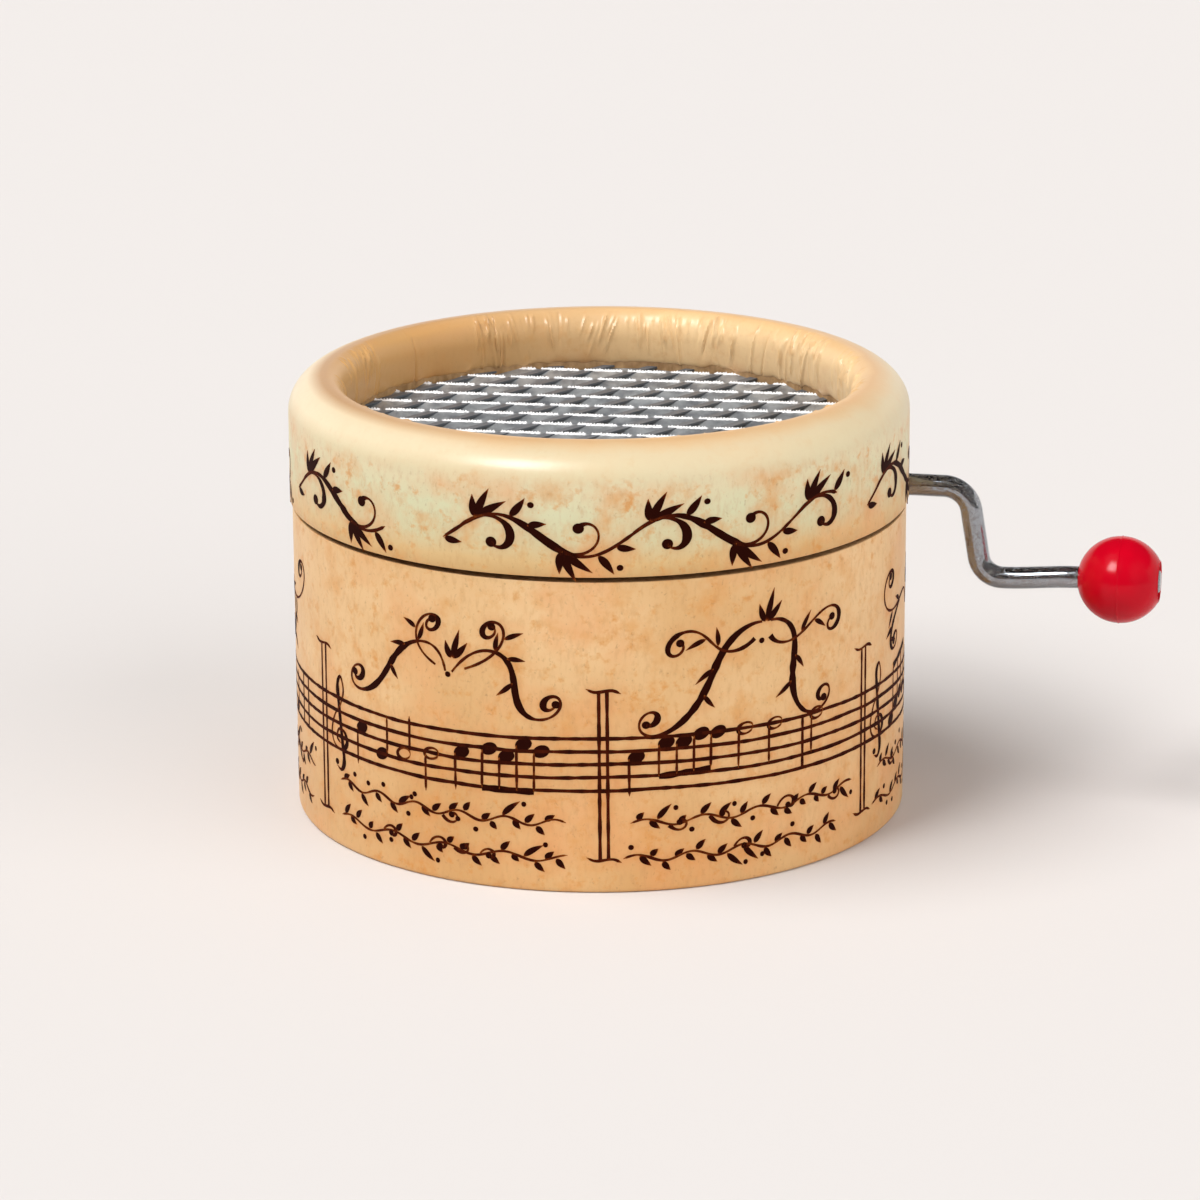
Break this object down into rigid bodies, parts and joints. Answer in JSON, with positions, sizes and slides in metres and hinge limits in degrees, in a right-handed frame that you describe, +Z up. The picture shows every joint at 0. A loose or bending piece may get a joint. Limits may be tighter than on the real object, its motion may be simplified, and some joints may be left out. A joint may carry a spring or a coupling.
{
  "type": "hand crank music box",
  "caption": "Round paper-covered can with a lift-off lid and mesh grille over a comb-and-drum musical movement, driven through a worm by a bent wire crank with a bead knob.",
  "frame": {"origin": "centre of the can's flat underside", "axes": "+Z up along the can's axis; +X parallel to the crank's axis, out of the case"},
  "size_m": [0.0779, 0.0554, 0.0395],
  "materials": {
    "body_paper": "satin",
    "lid_paper": "satin",
    "board": "matte",
    "wood_block": "matte",
    "nickel_wire": "polished",
    "red_plastic": "gloss",
    "grille_steel": "satin",
    "spring_steel": "satin",
    "plated_steel": "satin",
    "screw_steel": "polished",
    "brass": "satin",
    "lead": "matte",
    "nylon": "satin"
  },
  "bodies": {
    "case": {"body_wrap": "body_paper", "body_tube": "board", "base_disc": "board", "neck_tube": "board", "resonance_block": "wood_block", "bedplate": "plated_steel", "comb": "spring_steel", "comb_base": "brass", "drive_frame": "plated_steel", "drum_bracket": "plated_steel", "drum_bush_front": "brass", "drum_bush_back": "brass", "crank_bush_inner": "brass", "crank_bush_outer": "brass", "bracket_screw": "screw_steel", "movement_screw_1": "screw_steel", "movement_screw_2": "screw_steel", "comb_screw_1": "screw_steel", "comb_screw_2": "screw_steel", "frame_screw_1": "screw_steel", "frame_screw_2": "screw_steel", "tuning_weight_1": "lead", "tuning_weight_2": "lead", "tuning_weight_3": "lead", "tuning_weight_4": "lead", "tuning_weight_5": "lead"},
    "lid": {"lid_wrap": "lid_paper", "lid_tube": "board", "grille": "grille_steel", "grille_ring": "board"},
    "crank": {"crank_rod": "nickel_wire", "worm": "spring_steel", "crank_clip": "spring_steel", "crank_collar": "brass"},
    "drum": {"drum": "brass", "drum_cap_front": "brass", "drum_cap_back": "brass", "drum_arbor": "spring_steel", "arbor_collar_front": "brass", "arbor_collar_back": "brass", "arbor_clip": "spring_steel", "worm_wheel": "nylon"},
    "knob": {"knob_bead": "red_plastic"}
  },
  "joints": [
    {"name": "crank_turn", "type": "hinge", "parent": "case", "child": "crank", "pos_m": [0, 0.0085, 0.02805], "axis": [1, 0, 0], "continuous": true},
    {"name": "drum_turn", "type": "hinge", "parent": "case", "child": "drum", "pos_m": [0, 0, 0.0198], "axis": [0, 1, 0], "continuous": true},
    {"name": "knob_spin", "type": "hinge", "parent": "crank", "child": "knob", "pos_m": [0.0461, 0.0085, 0.02015], "axis": [1, 0, 0], "continuous": true},
    {"name": "lid_lift", "type": "slide", "parent": "case", "child": "lid", "axis": [0, 0, 1], "range_m": [0, 0.015]}
  ],
  "couplings": [
    {"joint": "drum_turn", "follows": "crank_turn", "ratio": -0.05}
  ]
}
